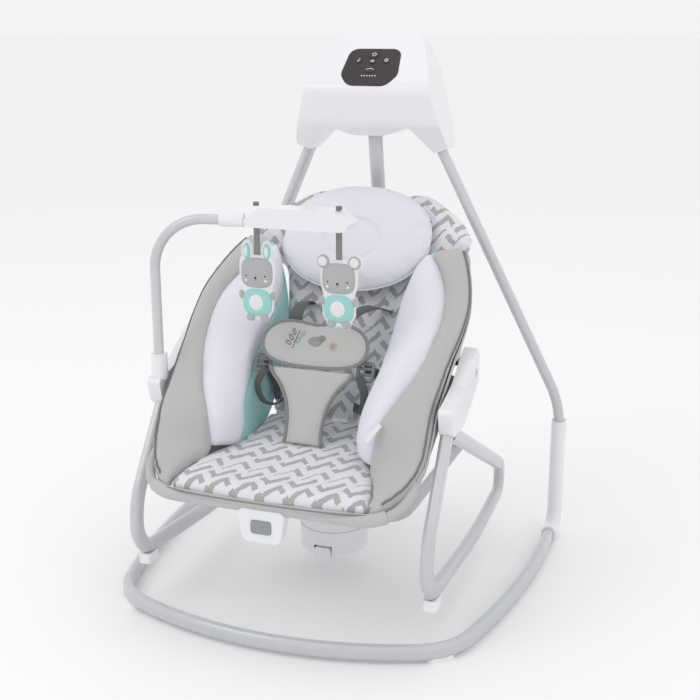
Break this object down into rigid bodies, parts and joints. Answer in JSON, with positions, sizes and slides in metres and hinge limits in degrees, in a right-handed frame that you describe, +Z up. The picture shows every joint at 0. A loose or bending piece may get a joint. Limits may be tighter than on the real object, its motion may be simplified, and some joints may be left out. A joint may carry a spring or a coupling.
{
  "type": "baby swing",
  "caption": "Side-to-side baby swing with a lift-off rocker seat: bent-tube stand, drive head with control panel, padded bucket seat, harness, soothing unit and turning toy bar.",
  "frame": {"origin": "on the floor, under the middle of the stand's outline", "axes": "+Z up, -Y the way the seated child faces, +X to the child's left"},
  "size_m": [0.7413, 0.6353, 0.951],
  "materials": {
    "tube_paint": "satin silver-grey paint",
    "white_plastic": "smooth moulded white",
    "dark_panel": "glossy near-black",
    "steel": "plain steel",
    "grey_fabric": "soft grey velour",
    "print_fabric": "grey and white printed cotton",
    "plush_fabric": "white plush",
    "webbing": "woven webbing",
    "toy_fabric": "felt and plush",
    "grey_plastic": "satin moulded grey",
    "board": "green board",
    "cell_metal": "plated steel",
    "copper": "enamelled wire",
    "black_plastic": "matte black",
    "foot_rubber": "soft white rubber"
  },
  "bodies": {
    "swing_frame": {"base_tube": "tube_paint", "leg_tube_left": "tube_paint", "leg_tube_right": "tube_paint", "rear_sleeve_left": "white_plastic", "rear_sleeve_right": "white_plastic", "front_feet": "foot_rubber", "head_front": "white_plastic", "head_rear": "white_plastic", "panel_lens": "dark_panel", "circuit_board": "board", "axle_bearings": "steel", "drive_coil": "copper", "speaker": "black_plastic", "battery_box": "white_plastic", "battery_door": "white_plastic", "batteries": "cell_metal", "head_screws": "steel"},
    "swing": {"swing_axle": "steel", "arm_collar": "white_plastic", "swing_arm": "tube_paint", "drive_magnet": "cell_metal", "dock_hub": "white_plastic"},
    "latch": {"dock_latch": "white_plastic"},
    "rocker": {"seat_adapter": "white_plastic", "cross_tube": "tube_paint", "cross_collars": "grey_plastic", "rocker_loop_left": "tube_paint", "rocker_loop_right": "tube_paint", "side_housing_left": "white_plastic", "side_housing_right": "white_plastic", "rocker_feet": "foot_rubber", "toy_socket": "white_plastic"},
    "seat": {"seat_tube": "steel", "back_tube": "steel", "pivot_brackets": "steel", "seat_pad": "print_fabric", "back_pad": "print_fabric", "wing_left": "grey_fabric", "wing_right": "grey_fabric", "pillow": "plush_fabric", "chest_pad": "grey_fabric", "crotch_strap": "grey_fabric", "shoulder_straps": "webbing", "waist_straps": "webbing", "buckles": "grey_plastic", "vibration_unit": "white_plastic"},
    "unit_key": {"vibration_key": "grey_plastic"},
    "toy_arch": {"toy_bar": "tube_paint", "bar_connector": "white_plastic", "toy_tray": "white_plastic", "tray_clips": "grey_plastic"},
    "bunny": {"toy_bunny": "toy_fabric", "strap_bunny": "webbing"},
    "bear": {"toy_bear": "toy_fabric", "strap_bear": "webbing"},
    "key_power": {"button_power": "dark_panel"},
    "key_melody": {"button_melody": "dark_panel"},
    "key_volume": {"button_volume": "dark_panel"},
    "key_timer": {"button_timer": "dark_panel"},
    "key_speed": {"button_speed": "dark_panel"}
  },
  "joints": [
    {"name": "swing_hinge", "type": "hinge", "parent": "swing_frame", "child": "swing", "pos_m": [0, 0.24, 0.83], "axis": [0, 1, 0], "range_deg": [-9, 9]},
    {"name": "latch_pull", "type": "slide", "parent": "swing", "child": "latch", "axis": [0, -1, 0], "range_m": [0, 0.006], "stiffness_N_per_m": 400, "springref_m": -0.002},
    {"name": "seat_lift", "type": "slide", "parent": "swing", "child": "rocker", "axis": [0, 0, 1], "range_m": [0, 0.04]},
    {"name": "seat_tilt", "type": "hinge", "parent": "rocker", "child": "seat", "pos_m": [0, -0.015, 0.405], "axis": [1, 0, 0], "range_deg": [0, 8]},
    {"name": "unit_key_press", "type": "slide", "parent": "seat", "child": "unit_key", "axis": [0, 1, 0], "range_m": [0, 0.0015], "stiffness_N_per_m": 600},
    {"name": "toy_bar_turn", "type": "hinge", "parent": "rocker", "child": "toy_arch", "pos_m": [-0.252, -0.148, 0.42], "axis": [0, 0, 1], "range_deg": [-95, 0]},
    {"name": "bunny_swing", "type": "hinge", "parent": "toy_arch", "child": "bunny", "pos_m": [-0.08, -0.118, 0.646], "axis": [1, 0, 0], "range_deg": [-25, 25]},
    {"name": "bear_swing", "type": "hinge", "parent": "toy_arch", "child": "bear", "pos_m": [0.062, -0.118, 0.646], "axis": [1, 0, 0], "range_deg": [-25, 25]},
    {"name": "power_press", "type": "slide", "parent": "swing_frame", "child": "key_power", "axis": [0, 0.7071, -0.7071], "range_m": [0, 0.0008], "stiffness_N_per_m": 500},
    {"name": "melody_press", "type": "slide", "parent": "swing_frame", "child": "key_melody", "axis": [0, 0.7071, -0.7071], "range_m": [0, 0.0008], "stiffness_N_per_m": 500},
    {"name": "volume_press", "type": "slide", "parent": "swing_frame", "child": "key_volume", "axis": [0, 0.7071, -0.7071], "range_m": [0, 0.0008], "stiffness_N_per_m": 500},
    {"name": "timer_press", "type": "slide", "parent": "swing_frame", "child": "key_timer", "axis": [0, 0.7071, -0.7071], "range_m": [0, 0.0008], "stiffness_N_per_m": 500},
    {"name": "speed_press", "type": "slide", "parent": "swing_frame", "child": "key_speed", "axis": [0, 0.7071, -0.7071], "range_m": [0, 0.0008], "stiffness_N_per_m": 500}
  ]
}
